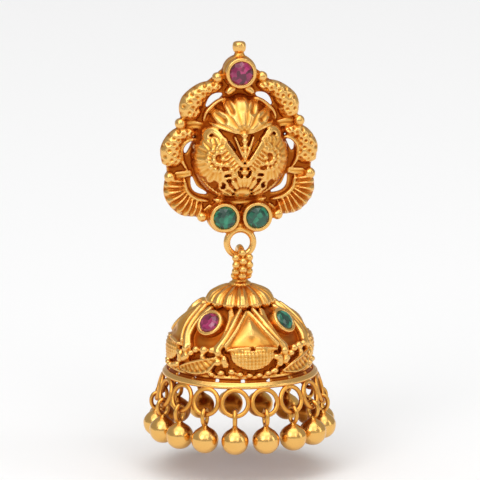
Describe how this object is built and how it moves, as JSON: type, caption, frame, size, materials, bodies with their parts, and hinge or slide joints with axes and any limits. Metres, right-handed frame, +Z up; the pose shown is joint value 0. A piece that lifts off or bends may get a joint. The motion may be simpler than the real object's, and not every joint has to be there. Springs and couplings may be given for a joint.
{
  "type": "jhumka earring",
  "caption": "Cast gold jhumka earring: pierced stud plaque with stones, screw post and disc nut, and a hinged ornate bell with stones and a fringe of bead drops.",
  "frame": {"origin": "where the post's axis meets the stud's flat back, which is the face of the ear lobe", "axes": "+Z up, against gravity as worn; -Y is the earring's front; +Y runs along the post, through the lobe"},
  "size_m": [0.0185, 0.0205, 0.0383],
  "materials": {
    "cast_gold": "warm 22 carat gold, cast and antiqued, matt-bright on the high spots and orange-brown in the recesses",
    "bright_gold": "warm 22 carat gold, polished",
    "ruby": "faceted magenta-red stone, foiled behind",
    "emerald": "faceted deep green stone, foiled behind"
  },
  "bodies": {
    "stud_body": {"stud": "cast_gold", "ruby_top": "ruby", "emerald_left": "emerald", "emerald_right": "emerald"},
    "nut_body": {"screw_nut": "bright_gold"},
    "bell_body": {"bell": "cast_gold", "bell_ruby_1": "ruby", "bell_ruby_2": "ruby", "bell_emerald_1": "emerald", "bell_emerald_2": "emerald", "drop_01": "bright_gold", "drop_02": "bright_gold", "drop_03": "bright_gold", "drop_04": "bright_gold", "drop_05": "bright_gold", "drop_06": "bright_gold", "drop_07": "bright_gold", "drop_08": "bright_gold", "drop_09": "bright_gold", "drop_10": "bright_gold", "drop_11": "bright_gold", "drop_12": "bright_gold", "drop_13": "bright_gold", "drop_14": "bright_gold", "drop_15": "bright_gold", "drop_16": "bright_gold", "drop_17": "bright_gold"}
  },
  "joints": [
    {"name": "bell_swing", "type": "hinge", "parent": "stud_body", "child": "bell_body", "pos_m": [0, -0.001, -0.01044], "axis": [1, 0, 0], "range_deg": [-60, 60]},
    {"name": "nut_unscrew", "type": "slide", "parent": "stud_body", "child": "nut_body", "axis": [0, 1, 0], "range_m": [0, 0.0065]}
  ]
}
